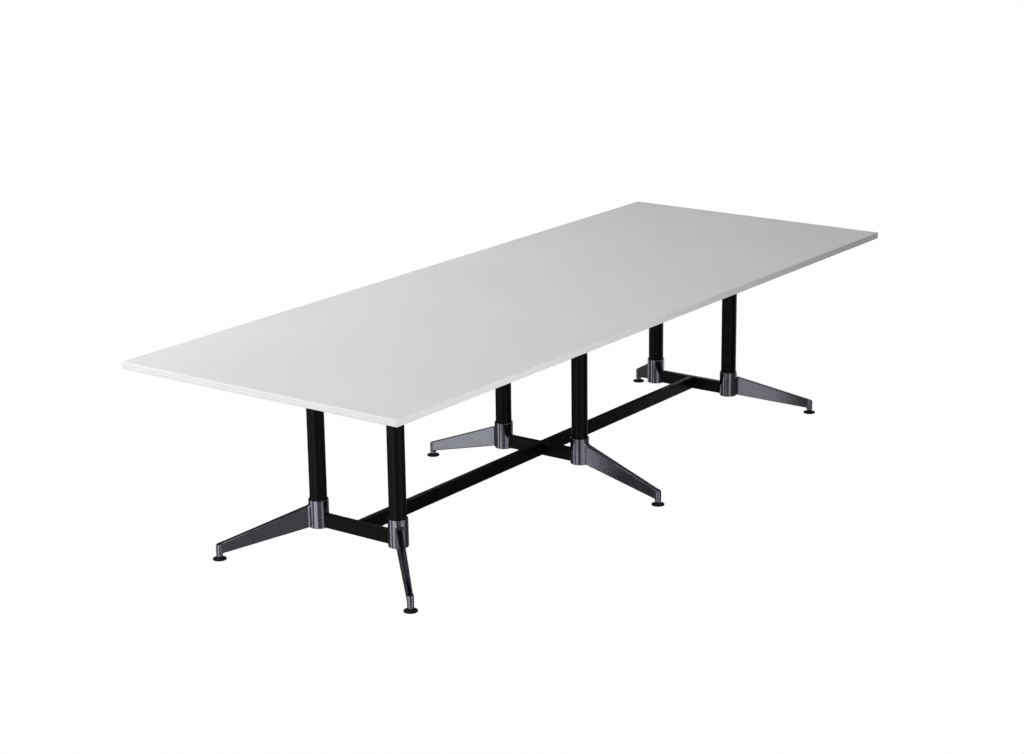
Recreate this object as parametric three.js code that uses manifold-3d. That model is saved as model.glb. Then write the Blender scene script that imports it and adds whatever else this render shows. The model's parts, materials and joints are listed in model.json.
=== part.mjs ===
// Long conference table: a two-piece top on three pairs of round posts. Each post stands in the collar of a
// cast leg with a tapered arm, a cross rail ties each pair, and a beam runs down the middle of the table.
// Millimetres, +Z up, X along the table, origin on the floor under the middle of the top.
import * as THREE from "three";
import { mergeVertices } from "three/addons/utils/BufferGeometryUtils.js";
import Module from "manifold-3d";

const wasm = await Module();
wasm.setup();

// Clearances
const fit = 0.3; // between a piece and what it seats on or slides into
const glueLine = 0.1; // between a board and its edging
const turningFit = 0.4; // around a screw that turns

// Top: two faced boards that meet in a butt seam at the middle
const topLength = 3200;
const topWidth = 1200;
const topHeight = 755;
const boardThickness = 25;
const edgingThickness = 2;
const edgingArris = 1.5;
const seamGap = 0.4;

// Dowels in the seam, and the joining plates under it
const dowelDiameter = 10;
const dowelLength = 60;
const dowelInset = 260; // from the top's edge to an outer dowel
const dowels = [
  { name: "left", place: 1 },
  { name: "mid", place: 0 },
  { name: "right", place: -1 },
];
const joinPlateLength = 180;
const joinPlateWidth = 50;
const joinPlateThickness = 3;
const joinPlateCorner = 8;
const joinPlateInset = 160; // from the top's edge to the middle of a plate
const joinHoleInset = 12;

// Posts and their mounting plates
const framePitch = 1100; // from one pair of posts to the next
const postSpread = 360; // between the two posts of a pair
const postDiameter = 62;
const postWall = 2;
const nutPlateThickness = 8;
const nutPlateHeight = 32; // from the post's foot to its nut plate
const plateSide = 150;
const plateThickness = 5;
const plateCorner = 12;
const plateHoleInset = 16;
const woodScrewHole = 6;
const spigotLength = 40;
const spigotWall = 3;

// Levelling feet: a pad that swivels on a screw
const padDiameter = 50;
const padRim = 4.5;
const padHeight = 9;
const padHubDiameter = 22;
const padSole = 2.8;
const screwDiameter = 10;
const screwLength = 34; // threaded length above the spanner flats
const screwTip = 1.2; // chamfer at its upper end
const screwNeck = 8;
const screwFlange = 14;
const screwFlangeThickness = 4;
const spannerSize = 17;
const spannerHeight = 5;

// Cast legs: collar, tapered arm and tip boss
const legReach = 355; // from the post's axis to the foot's axis
const splayAngle = THREE.MathUtils.degToRad(45); // of the end legs, from the table's length
const collarWall = 4.7;
const collarHeight = 103;
const collarFloor = 12;
const collarArris = 2;
const collarRise = 86; // from the underside of the boss to the underside of the collar
const armRootDepth = 80;
const armTipDepth = 39;
const armRootThickness = 24;
const armTipThickness = 20;
const armEdgeRadius = 5;
const armFillet = 10; // where the arm runs into the collar
const armWall = 4;
const armRibs = 2;
const armRibThickness = 4;
const bossDiameter = 24;
const bossDrop = 6; // of the boss below the arm's underside
const screwRoom = 3; // left above the levelling screw

// Cross rails and beam: one section of rectangular tube
const railDepth = 50;
const railWidth = 25;
const railWall = 2;
const railCorner = 3;
const railLift = 3; // from the underside of the collar to the underside of the rail
const railEndBlock = 20;
const stubLength = 45;
const stubWall = 3;

// Post bolts and rail screws
const postBoltDiameter = 10;
const postBoltHead = 18;
const postBoltHeadHeight = 6;
const postBoltReach = 4; // past the nut plate
const railScrewDiameter = 8;
const railScrewHead = 14;
const railScrewHeadHeight = 5;
const railScrewReach = 4; // past the end block

// Facets of a full circle, and of a rounded corner
const postFacets = 24;
const padFacets = 18;
const smallFacets = 8;
const cornerFacets = 3;
const filletFacets = 4;
const hexagon = 6;
const weldDistance = 1e-4;

// Heights and radii that follow
const boardUnderside = topHeight - boardThickness;
const outerDowel = topWidth / 2 - dowelInset;
const plateUnderside = boardUnderside - fit - plateThickness;
const bossUnderside = padHeight + spannerHeight + 2 * fit;
const collarUnderside = bossUnderside + collarRise;
const collarSeat = collarUnderside + collarFloor;
const postFoot = collarSeat + fit;
const postHead = plateUnderside - fit;
const postRadius = postDiameter / 2;
const collarBore = postRadius + fit;
const collarRadius = collarBore + collarWall;
const railMiddle = collarUnderside + railLift + railDepth / 2;
const railReach = collarRadius + fit; // from a post's axis to the end of its rail
const nutPlateLow = postFoot + nutPlateHeight;
const nutPlateTop = nutPlateLow + nutPlateThickness;
const boltSeat = collarUnderside + postBoltHeadHeight;
const armRootLow = collarUnderside;
const armRootHigh = armRootLow + armRootDepth;
const armTipLow = bossUnderside + bossDrop;
const armTipHigh = armTipLow + armTipDepth;

// Finishes
function finish(color, roughness, metalness) {
  return new THREE.MeshStandardMaterial({ color, roughness, metalness });
}
const boardFinish = finish(0xdfe0e2, 0.42, 0);
const edgingFinish = finish(0xeae9e8, 0.4, 0);
const blackFinish = finish(0x131315, 0.38, 0.1);
const polishedFinish = finish(0xc6c8cf, 0.14, 1);
const zincFinish = finish(0xa9acb0, 0.35, 1);
const nylonFinish = finish(0x151515, 0.55, 0);
const beechFinish = finish(0xd6b88c, 0.7, 0);

// Solids: closed geometries joined and cut
function solidOf(geometry) {
  const bare = geometry.clone();
  bare.deleteAttribute("normal");
  bare.deleteAttribute("uv");
  const merged = mergeVertices(bare, weldDistance);
  const vertProperties = merged.attributes.position.array;
  const triVerts = new Uint32Array(merged.index.array);
  return new wasm.Manifold(new wasm.Mesh({ numProp: 3, vertProperties, triVerts }));
}

function geometryOf(solid) {
  const { vertProperties, triVerts } = solid.getMesh();
  const geometry = new THREE.BufferGeometry();
  geometry.setAttribute("position", new THREE.BufferAttribute(vertProperties, 3));
  geometry.setIndex(new THREE.BufferAttribute(triVerts, 1));
  return geometry;
}

function join(...pieces) {
  const sum = pieces.map(solidOf).reduce((whole, piece) => whole.add(piece));
  return geometryOf(sum);
}

function cut(body, ...tools) {
  const rest = tools.map(solidOf).reduce((whole, tool) => whole.subtract(tool), solidOf(body));
  return geometryOf(rest);
}

// The corner radius of a faceted hole whose flats touch a circle of the given radius
function holeRadius(radius, facets) {
  return radius / Math.cos(Math.PI / facets);
}

function revolve(profile, facets) {
  const points = profile.map(([r, z]) => new THREE.Vector2(r, z));
  return new THREE.LatheGeometry(points, facets).rotateX(Math.PI / 2);
}

function rod(radius, low, high, facets) {
  const geometry = new THREE.CylinderGeometry(radius, radius, high - low, facets);
  return geometry.rotateX(Math.PI / 2).translate(0, 0, (low + high) / 2);
}

// A rod whose flats lie at the given radius, as a tool for a hole or a hexagon
function hole(radius, low, high, facets) {
  return rod(holeRadius(radius, facets), low, high, facets);
}

function block(x, y, z) {
  const size = [x, y, z].map(([low, high]) => high - low);
  const middle = [x, y, z].map(([low, high]) => (low + high) / 2);
  return new THREE.BoxGeometry(...size).translate(...middle);
}

function roundedRectangle(width, depth, radius) {
  const shape = new THREE.Shape();
  const x = width / 2 - radius;
  const y = depth / 2 - radius;
  shape.absarc(x, y, radius, 0, Math.PI / 2);
  shape.absarc(-x, y, radius, Math.PI / 2, Math.PI);
  shape.absarc(-x, -y, radius, Math.PI, Math.PI * 1.5);
  shape.absarc(x, -y, radius, Math.PI * 1.5, Math.PI * 2);
  return shape;
}

// Each curve segment gives an arc two facets
function extrude(shape, depth) {
  return new THREE.ExtrudeGeometry(shape, { depth, bevelEnabled: false, curveSegments: cornerFacets / 2 });
}

// The outside of the rail's tube along X: its width lies across, its depth upright
function railBar(low, high) {
  const bar = extrude(roundedRectangle(railWidth, railDepth, railCorner), high - low);
  return bar.rotateX(Math.PI / 2).rotateZ(Math.PI / 2).translate(low, 0, 0);
}

// A square-cornered bar along X, inset all round from the rail's outside
function insetBar(inset, low, high) {
  const across = railWidth / 2 - inset;
  const upright = railDepth / 2 - inset;
  return block([low, high], [-across, across], [-upright, upright]);
}

// A skin over rings of equal count, each a list of [x, y, z], with flat ends
function loft(rings) {
  const count = rings[0].length;
  const index = [];
  for (let ring = 0; ring + 1 < rings.length; ring++) {
    for (let i = 0; i < count; i++) {
      const a = ring * count + i;
      const b = ring * count + ((i + 1) % count);
      index.push(a, b, b + count, a, b + count, a + count);
    }
  }
  const last = (rings.length - 1) * count;
  for (let i = 1; i + 1 < count; i++) {
    index.push(0, i + 1, i, last, last + i, last + i + 1);
  }
  const geometry = new THREE.BufferGeometry();
  geometry.setAttribute("position", new THREE.Float32BufferAttribute(rings.flat(2), 3));
  return geometry.setIndex(index);
}

// A headed screw along +Z, its head's seat at zero
function headedScrew(diameter, head, headHeight, length) {
  const profile = [
    [0, -headHeight],
    [head / 2, -headHeight],
    [head / 2, 0],
    [diameter / 2, 0],
    [diameter / 2, length],
    [0, length],
  ];
  return revolve(profile, smallFacets);
}

// Top
function dowelHoles(end) {
  return dowels.map(({ place }) => {
    const depth = dowelLength / 2 + fit;
    const bore = hole(dowelDiameter / 2 + fit, -seamGap, depth, smallFacets).rotateY((end * Math.PI) / 2);
    return bore.translate((end * seamGap) / 2, place * outerDowel, topHeight - boardThickness / 2);
  });
}

// The board from the seam to one end, +1 or -1 along X
function board(end) {
  const outer = topLength / 2 - edgingThickness - glueLine;
  const across = topWidth / 2 - edgingThickness - glueLine;
  const along = [(end * seamGap) / 2, end * outer].sort((a, b) => a - b);
  const slab = block(along, [-across, across], [boardUnderside, topHeight]);
  return cut(slab, ...dowelHoles(end));
}

// A strip of edging along +X whose inner face lies on the XZ plane, with rounded outer corners
function edging(length) {
  const arris = edgingArris;
  const section = new THREE.Shape();
  section.moveTo(0, 0);
  section.absarc(edgingThickness - arris, arris, arris, -Math.PI / 2, 0);
  section.absarc(edgingThickness - arris, boardThickness - arris, arris, 0, Math.PI / 2);
  section.lineTo(0, boardThickness);
  const strip = extrude(section, length);
  return strip.rotateX(Math.PI / 2).rotateZ(Math.PI / 2).translate(0, 0, boardUnderside);
}

function dowel() {
  const half = dowelLength / 2;
  return rod(dowelDiameter / 2, -half, half, smallFacets).rotateY(Math.PI / 2);
}

// A plate with rounded corners and a screw hole near each, its upper face at zero
function screwPlate(length, width, thickness, corner, holeInset) {
  const plate = extrude(roundedRectangle(length, width, corner), thickness).translate(0, 0, -thickness);
  const x = length / 2 - holeInset;
  const y = width / 2 - holeInset;
  const places = [
    [x, y],
    [-x, y],
    [-x, -y],
    [x, -y],
  ];
  const holes = places.map((place) => {
    return hole(woodScrewHole / 2, -2 * thickness, thickness, smallFacets).translate(...place, 0);
  });
  return cut(plate, ...holes);
}

function joinPlate() {
  return screwPlate(joinPlateLength, joinPlateWidth, joinPlateThickness, joinPlateCorner, joinHoleInset);
}

// Posts
function mountingPlate() {
  const plate = screwPlate(plateSide, plateSide, plateThickness, plateCorner, plateHoleInset);
  const outer = postRadius - postWall - fit;
  const sleeve = cut(
    rod(outer, -plateThickness - spigotLength, -plateThickness / 2, padFacets),
    hole(outer - spigotWall, -plateThickness - spigotLength * 2, -plateThickness, padFacets),
  );
  return join(plate, sleeve);
}

// A tube with a nut plate inside its foot, notched towards +X to clear the rail screw's head
function post() {
  const bore = holeRadius(postRadius - postWall, postFacets);
  const thread = holeRadius(postBoltDiameter / 2 + fit, postFacets);
  const tube = revolve(
    [
      [bore, postFoot],
      [postRadius, postFoot],
      [postRadius, postHead],
      [bore, postHead],
      [bore, nutPlateTop],
      [thread, nutPlateTop],
      [thread, nutPlateLow],
      [bore, nutPlateLow],
      [bore, postFoot],
    ],
    postFacets,
  );
  const room = railScrewHead / 2 + 2 * fit;
  const across = [postRadius / 2, postRadius * 2];
  const crown = hole(room, ...across, smallFacets).rotateY(Math.PI / 2).translate(0, 0, railMiddle);
  const slot = block(across, [-room, room], [postFoot - fit, railMiddle]);
  return cut(tube, join(crown, slot));
}

function postBolt() {
  const length = nutPlateTop + postBoltReach - boltSeat;
  return headedScrew(postBoltDiameter, postBoltHead, postBoltHeadHeight, length).translate(0, 0, boltSeat);
}

// From inside the collar towards +X
function railScrew() {
  const seat = Math.sqrt(collarBore ** 2 - (railScrewHead / 2) ** 2) - fit;
  const length = railReach + railEndBlock + railScrewReach - seat;
  const screw = headedScrew(railScrewDiameter, railScrewHead, railScrewHeadHeight, length);
  return screw.rotateY(Math.PI / 2).translate(seat, 0, railMiddle);
}

// Legs: the arm runs along +X from the post's axis
function alongArm(s, root, tip) {
  return root + ((tip - root) * (s - collarRadius)) / (legReach - collarRadius);
}

function armLow(s) {
  return alongArm(s, armRootLow, armTipLow);
}

function armHigh(s) {
  return alongArm(s, armRootHigh, armTipHigh);
}

const filletCentre = Math.sqrt((collarRadius + armFillet) ** 2 - (armRootThickness / 2 + armFillet) ** 2);
const filletStart = (filletCentre * collarRadius) / (collarRadius + armFillet);

// Half the arm's thickness, widened by the fillet where it meets the collar
function armHalf(s) {
  const inFillet = Math.max(filletCentre - s, 0);
  const flare = armFillet - Math.sqrt(armFillet ** 2 - inFillet ** 2);
  return alongArm(s, armRootThickness, armTipThickness) / 2 + flare;
}

// A section of the arm: an upright rectangle with rounded corners
function armRing(s) {
  const corners = [
    [1, 1],
    [-1, 1],
    [-1, -1],
    [1, -1],
  ];
  const low = armLow(s) + armEdgeRadius;
  const high = armHigh(s) - armEdgeRadius;
  const half = armHalf(s) - armEdgeRadius;
  return corners.flatMap(([y, z], corner) =>
    Array.from({ length: cornerFacets + 1 }, (_, step) => {
      const angle = (corner + step / cornerFacets) * (Math.PI / 2);
      const middle = z > 0 ? high : low;
      return [s, y * half + armEdgeRadius * Math.cos(angle), middle + armEdgeRadius * Math.sin(angle)];
    }),
  );
}

function arm() {
  const stations = Array.from({ length: filletFacets + 1 }, (_, step) =>
    THREE.MathUtils.lerp(filletStart, filletCentre, step / filletFacets),
  );
  return loft([...stations, legReach].map(armRing));
}

// The arm is cast hollow from below, in bays between cross ribs
function armBays() {
  const start = filletCentre + armWall;
  const end = legReach - bossDiameter / 2 - armWall;
  const bays = armRibs + 1;
  const length = (end - start - armRibs * armRibThickness) / bays;
  return Array.from({ length: bays }, (_, bay) => {
    const from = start + bay * (length + armRibThickness);
    const rings = [from, from + length].map((s) => {
      const half = armHalf(s) - armWall;
      const roof = armHigh(s) - armWall;
      const below = armLow(s) - armRootDepth;
      return [
        [s, half, roof],
        [s, -half, roof],
        [s, -half, below],
        [s, half, below],
      ];
    });
    return loft(rings);
  });
}

// The tip boss, cut off along the line of the arm's upper edge
function boss() {
  const tall = rod(bossDiameter / 2, bossUnderside, armRootHigh, padFacets).translate(legReach, 0, 0);
  const slope = Math.atan2(armRootHigh - armTipHigh, legReach - collarRadius);
  const above = block([-legReach, legReach], [-bossDiameter, bossDiameter], [0, legReach]);
  return cut(tall, above.rotateY(slope).translate(legReach, 0, armTipHigh));
}

function collar() {
  const low = collarUnderside;
  const high = collarUnderside + collarHeight;
  return revolve(
    [
      [0, low],
      [collarRadius - collarArris, low],
      [collarRadius, low + collarArris],
      [collarRadius, high - collarArris],
      [collarRadius - collarArris, high],
      [0, high],
    ],
    postFacets,
  );
}

// A leg whose rail is fastened at the given turn from its arm
function leg(railTurn) {
  const top = collarUnderside + collarHeight * 2;
  const railHole = hole(railScrewDiameter / 2 + fit, 0, collarRadius * 2, smallFacets).rotateY(Math.PI / 2);
  const screwHole = hole(
    screwDiameter / 2 + turningFit,
    bossUnderside - fit,
    bossUnderside + screwLength + screwRoom,
    smallFacets,
  );
  return cut(
    join(collar(), arm(), boss()),
    hole(collarBore, collarSeat, top, postFacets),
    hole(postBoltDiameter / 2 + fit, 0, top, smallFacets),
    hole(postBoltHead / 2 + fit, 0, boltSeat + fit, smallFacets),
    railHole.translate(0, 0, railMiddle).rotateZ(railTurn),
    screwHole.translate(legReach, 0, 0),
    ...armBays(),
  );
}

// Feet, on the foot's own axis
function pad() {
  const neck = holeRadius(screwNeck / 2 + turningFit, padFacets);
  const flange = holeRadius(screwFlange / 2 + turningFit, padFacets);
  const roof = padSole + screwFlangeThickness + 2 * turningFit;
  return revolve(
    [
      [0, 0],
      [padDiameter / 2, 0],
      [padDiameter / 2, padRim],
      [padHubDiameter / 2, padHeight],
      [neck, padHeight],
      [neck, roof],
      [flange, roof],
      [flange, padSole],
      [0, padSole],
    ],
    padFacets,
  );
}

// A flange held in the pad, a neck, spanner flats and the threaded part in the boss
function levellingScrew() {
  const flangeLow = padSole + turningFit;
  const flangeHigh = flangeLow + screwFlangeThickness;
  const flatsLow = padHeight + fit;
  const flatsHigh = flatsLow + spannerHeight;
  const tip = flatsHigh + fit + screwLength;
  const turned = revolve(
    [
      [0, flangeLow],
      [screwFlange / 2, flangeLow],
      [screwFlange / 2, flangeHigh],
      [screwNeck / 2, flangeHigh],
      [screwNeck / 2, (flatsLow + flatsHigh) / 2],
      [screwDiameter / 2, (flatsLow + flatsHigh) / 2],
      [screwDiameter / 2, tip - screwTip],
      [screwDiameter / 2 - screwTip, tip],
      [0, tip],
    ],
    smallFacets,
  );
  return join(turned, hole(spannerSize / 2, flatsLow, flatsHigh, hexagon));
}

// Cross rail along X between its two collars, with end blocks for the rail screws and a stub for each beam.
// stubs lists the sides of the rail, +1 or -1, where a beam starts.
function crossRail(stubs) {
  const half = postSpread / 2;
  const inside = half - railReach - railEndBlock;
  const tube = cut(railBar(-half, half), insetBar(railWall, -inside, inside));
  const screwHole = hole(railScrewDiameter / 2 + fit, -half, half, smallFacets).rotateY(Math.PI / 2);
  const copes = [-half, half].map((x) => {
    return hole(railReach, -railDepth, railDepth, postFacets).translate(x, 0, 0);
  });
  return cut(join(tube, ...stubs.map(beamStub)), screwHole, ...copes).translate(0, 0, railMiddle);
}

// A short tube that the end of a beam slides over, on one side of a cross rail
function beamStub(side) {
  const start = (railWidth - railWall) / 2;
  const end = railWidth / 2 + stubLength;
  const outside = railWall + fit;
  const tube = cut(insetBar(outside, start, end), insetBar(outside + stubWall, railWidth / 2, end * 2));
  return tube.rotateZ((side * Math.PI) / 2);
}

function beam() {
  const length = framePitch - railWidth - 2 * fit;
  return cut(railBar(0, length), insetBar(railWall, -length, length * 2));
}

// Assembly
const table = new THREE.Group();

function place(parent, name, geometry, material, position = [0, 0, 0], turn = 0) {
  const mesh = new THREE.Mesh(geometry, material.clone());
  mesh.name = name;
  mesh.position.set(...position);
  mesh.rotation.z = turn;
  parent.add(mesh);
}

function groupAt(parent, position, turn = 0) {
  const group = new THREE.Group();
  group.position.set(...position);
  group.rotation.z = turn;
  parent.add(group);
  return group;
}

const quarterTurn = Math.PI / 2;
const ends = [
  { name: "near", x: -1 },
  { name: "far", x: 1 },
];
const sides = [
  { name: "left", y: 1 },
  { name: "right", y: -1 },
];

const edgeX = topLength / 2 - edgingThickness;
const edgeY = topWidth / 2 - edgingThickness;
const inner = seamGap / 2;
const outer = edgeX - glueLine;
for (const { name, x } of ends) {
  place(table, `top_board_${name}`, board(x), boardFinish);
  const corner = [x * edgeX, (x * topWidth) / 2, 0];
  place(table, `edging_end_${name}`, edging(topWidth), edgingFinish, corner, -x * quarterTurn);
  for (const side of sides) {
    const start = x * side.y > 0 ? inner : outer;
    const turn = side.y > 0 ? 0 : Math.PI;
    const strip = edging(outer - inner);
    place(table, `edging_${side.name}_${name}`, strip, edgingFinish, [x * start, side.y * edgeY, 0], turn);
  }
  const beamStart = x > 0 ? 0 : -framePitch;
  place(table, `beam_${name}`, beam(), blackFinish, [beamStart + railWidth / 2 + fit, 0, railMiddle]);
}

for (const { name, place: side } of dowels) {
  const middle = [0, side * outerDowel, topHeight - boardThickness / 2];
  place(table, `dowel_${name}`, dowel(), beechFinish, middle);
}
for (const { name, y } of sides) {
  const seat = [0, y * (topWidth / 2 - joinPlateInset), boardUnderside - fit];
  place(table, `seam_plate_${name}`, joinPlate(), zincFinish, seat);
}

const frames = [
  { name: "near", x: -1, stubs: [1] },
  { name: "mid", x: 0, stubs: [1, -1] },
  { name: "far", x: 1, stubs: [-1] },
];
for (const frame of frames) {
  const frameX = frame.x * framePitch;
  const rail = crossRail(frame.stubs);
  place(table, `cross_rail_${frame.name}`, rail, blackFinish, [frameX, 0, 0], -quarterTurn);
  for (const side of sides) {
    const name = `${frame.name}_${side.name}`;
    const base = groupAt(table, [frameX, (side.y * postSpread) / 2, 0]);
    const railHeading = -side.y * quarterTurn;
    const splay = frame.x === 0 ? quarterTurn : splayAngle;
    const armHeading = Math.atan2(side.y * Math.sin(splay), frame.x * Math.cos(splay));
    place(base, `post_${name}`, post(), blackFinish, [0, 0, 0], railHeading);
    place(base, `mounting_plate_${name}`, mountingPlate(), blackFinish, [0, 0, boardUnderside - fit]);
    place(base, `leg_${name}`, leg(railHeading - armHeading), polishedFinish, [0, 0, 0], armHeading);
    place(base, `post_bolt_${name}`, postBolt(), zincFinish);
    place(base, `rail_screw_${name}`, railScrew(), zincFinish, [0, 0, 0], railHeading);
    const foot = groupAt(groupAt(base, [0, 0, 0], armHeading), [legReach, 0, 0]);
    place(foot, `foot_pad_${name}`, pad(), nylonFinish);
    place(foot, `foot_screw_${name}`, levellingScrew(), zincFinish);
  }
}

export default table;
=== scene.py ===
"""Looks of a long conference table: pale top, black posts and rails, polished cast legs and levelling feet."""

import json
import math

import bmesh
import bpy
from bpy.props import FloatProperty, FloatVectorProperty, IntProperty, PointerProperty
from mathutils import Matrix, Vector


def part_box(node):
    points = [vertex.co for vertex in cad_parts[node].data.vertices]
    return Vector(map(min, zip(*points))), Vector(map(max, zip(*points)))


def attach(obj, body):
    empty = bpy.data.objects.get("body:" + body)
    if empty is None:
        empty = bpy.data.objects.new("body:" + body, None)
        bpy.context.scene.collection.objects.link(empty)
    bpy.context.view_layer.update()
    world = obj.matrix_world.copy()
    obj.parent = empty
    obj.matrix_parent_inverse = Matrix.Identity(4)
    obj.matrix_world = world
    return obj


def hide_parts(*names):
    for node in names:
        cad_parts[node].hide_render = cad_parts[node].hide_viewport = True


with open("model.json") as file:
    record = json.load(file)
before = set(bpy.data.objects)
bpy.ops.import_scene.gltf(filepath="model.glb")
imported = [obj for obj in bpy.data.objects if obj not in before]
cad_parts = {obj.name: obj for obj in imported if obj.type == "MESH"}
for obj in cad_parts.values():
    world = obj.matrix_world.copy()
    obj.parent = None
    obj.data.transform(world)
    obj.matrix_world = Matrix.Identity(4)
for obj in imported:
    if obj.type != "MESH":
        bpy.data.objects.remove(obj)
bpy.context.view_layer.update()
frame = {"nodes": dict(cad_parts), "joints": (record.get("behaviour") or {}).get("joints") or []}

bl_info = {
    "name": "Conference table",
    "version": (1, 0, 0),
    "blender": (4, 5, 0),
    "location": "3D View > Sidebar > Table",
    "description": "Finished top, posts, cast legs, rails and levelling feet on the table's frame",
    "category": "Object",
}

ROOT = "table"
ENDS = ("near", "far")
SIDES = ("left", "right")
FRAMES = ("near", "mid", "far")
STATIONS = tuple(f"{pair}_{side}" for pair in FRAMES for side in SIDES)
UPRIGHT = Vector((0, 0, 1))
DOWN = Vector((0, 0, -1))
ROUND_STEPS = 96
SMALL_STEPS = 24
BOSS_STEPS = 48
SHARP_ANGLE = math.radians(38)
TINY = 1e-6


def length(name, description, default):
    """A size in metres."""
    return FloatProperty(name=name, description=description, default=default, min=0, unit="LENGTH", precision=4)


def angle(name, description, default):
    """An angle, given in degrees and kept in radians."""
    return FloatProperty(name=name, description=description, default=math.radians(default), unit="ROTATION")


def colour(name, description, default):
    """A linear colour."""
    return FloatVectorProperty(
        name=name, description=description, default=default, size=3, min=0, max=1, subtype="COLOR"
    )


def amount(name, description, default):
    """A plain number."""
    return FloatProperty(name=name, description=description, default=default, min=0)


class TopSettings(bpy.types.PropertyGroup):
    """Boards and edging, and the plates under their seam."""

    board: colour("Board", "Colour of the melamine face", (0.66, 0.668, 0.682))
    edging: colour("Edging", "Colour of the plastic edging", (0.73, 0.714, 0.722))
    arris: length("Arris", "Radius of the edging's outer corners", 0.0015)
    plate_corner: length("Plate corner", "Corner radius of a joining plate", 0.008)
    plate_inset: length("Plate screws", "From a joining plate's edge to its screws", 0.012)


class PostSettings(bpy.types.PropertyGroup):
    """Posts, mounting plates, rails and beam, all in black powder coat."""

    black: colour("Black", "Colour of the powder coat", (0.002, 0.002, 0.0023))
    wall: length("Tube wall", "Wall of a post's tube", 0.002)
    nut_height: length("Nut plate", "From a post's foot to its nut plate", 0.032)
    nut_thickness: length("Nut plate thickness", "Thickness of a post's nut plate", 0.008)
    nut_bore: length("Nut bore", "Radius of the hole in a nut plate", 0.0053)
    notch_height: length("Notch", "Height of the notch over a rail screw's head", 0.0233)
    plate_thickness: length("Plate", "Thickness of a mounting plate", 0.005)
    plate_corner: length("Plate corner", "Corner radius of a mounting plate", 0.012)
    plate_inset: length("Plate screws", "From a mounting plate's edge to its screws", 0.016)
    spigot_wall: length("Spigot wall", "Wall of the spigot inside a post", 0.003)
    spigot_fit: length("Spigot fit", "Between the spigot and the post's bore", 0.0003)


class RailSettings(bpy.types.PropertyGroup):
    """Cross rails and beam."""

    corner: length("Corner", "Corner radius of the tube", 0.003)
    wall: length("Wall", "Wall of the tube", 0.002)
    gap: length("Gap", "Between a cross rail's end and its collar", 0.0003)
    stub_length: length("Stub", "Length of the stub inside a beam's end", 0.045)
    stub_wall: length("Stub wall", "Wall of the stub inside a beam's end", 0.003)
    set_screw_inset: length("Set screw", "From a beam's end to its set screw", 0.025)
    set_screw_radius: length("Set screw radius", "Radius of a beam's set screw", 0.004)


class LegSettings(bpy.types.PropertyGroup):
    """Cast legs: collar, tapered arm and tip boss."""

    metal: colour("Metal", "Reflection colour of the polished casting", (0.58, 0.592, 0.67))
    post_fit: length("Post fit", "Between a post and its collar's bore", 0.0003)
    collar_height: length("Collar height", "Height of the collar", 0.103)
    collar_floor: length("Collar floor", "Thickness of the collar's floor", 0.012)
    collar_arris: length("Collar arris", "Radius of the collar's outer edges", 0.002)
    collar_lip: length("Collar lip", "Radius of the collar's inner edge", 0.0008)
    bolt_hole: length("Bolt hole", "Radius of the post bolt's hole", 0.0053)
    bolt_room: length("Bolt recess", "Radius of the recess for the bolt's head", 0.0093)
    bolt_depth: length("Bolt recess depth", "Depth of the recess for the bolt's head", 0.0063)
    bolt_head: length("Bolt head", "Height of the post bolt's head", 0.006)
    root_depth: length("Root depth", "Depth of the arm at the collar", 0.080)
    tip_depth: length("Tip depth", "Depth of the arm at the boss", 0.039)
    root_thickness: length("Root thickness", "Thickness of the arm at the collar", 0.024)
    tip_thickness: length("Tip thickness", "Thickness of the arm at the boss", 0.020)
    top_round: length("Top edge", "Radius of the arm's upper edges", 0.005)
    low_round: length("Low edge", "Radius of the arm's lower edges", 0.0034)
    side_fillet: length("Side fillet", "Fillet between the arm's sides and the collar", 0.010)
    top_fillet: length("Top fillet", "Fillet between the arm's upper edge and the collar", 0.007)
    wall: length("Wall", "Wall of the hollow underside", 0.004)
    rib: length("Rib", "Thickness of a rib across the hollow underside", 0.004)
    bays: IntProperty(name="Bays", description="Hollow bays under the arm", default=3, min=1, max=8)
    boss_radius: length("Boss", "Radius of the tip boss", 0.012)
    tip_fillet: length("Tip fillet", "Blend between the arm's sides and the boss", 0.002)
    boss_drop: length("Boss drop", "Of the boss below the arm's underside", 0.006)
    boss_bore: length("Boss bore", "Radius of the hole for the levelling screw", 0.0054)
    boss_depth: length("Boss bore depth", "Depth of the hole for the levelling screw", 0.037)


class FootSettings(bpy.types.PropertyGroup):
    """Levelling feet: a nylon pad on a zinc-plated screw."""

    nylon: colour("Nylon", "Colour of the pad", (0.002, 0.002, 0.0023))
    zinc: colour("Zinc", "Reflection colour of the plated steel", (0.5, 0.51, 0.53))
    rim: length("Rim", "Height of the pad's rim", 0.0045)
    rim_round: length("Rim round", "Radius of the pad's upper rim", 0.0014)
    hub: length("Hub", "Radius of the pad's hub", 0.011)
    sole: length("Sole", "Thickness under the screw's flange", 0.0028)
    room: length("Room", "Radius of the room for the screw's flange", 0.0074)
    roof: length("Roof", "Height of the roof over the screw's flange", 0.0076)
    neck_hole: length("Neck hole", "Radius of the hole in the hub", 0.0044)
    neck: length("Neck", "Radius of the screw's neck", 0.004)
    flange: length("Flange", "Radius of the screw's flange", 0.007)
    flange_thickness: length("Flange thickness", "Thickness of the screw's flange", 0.004)
    screw: length("Screw", "Outer radius of the thread", 0.005)
    core: length("Core", "Radius of the screw under its thread", 0.0042)
    pitch: length("Pitch", "Travel of the screw in a full turn", 0.0015)
    spanner: length("Spanner", "Across the spanner flats", 0.017)
    flats: length("Flats", "Height of the spanner flats", 0.005)
    play: length("Play", "Between the flats and the pad below or the boss above", 0.0003)


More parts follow.
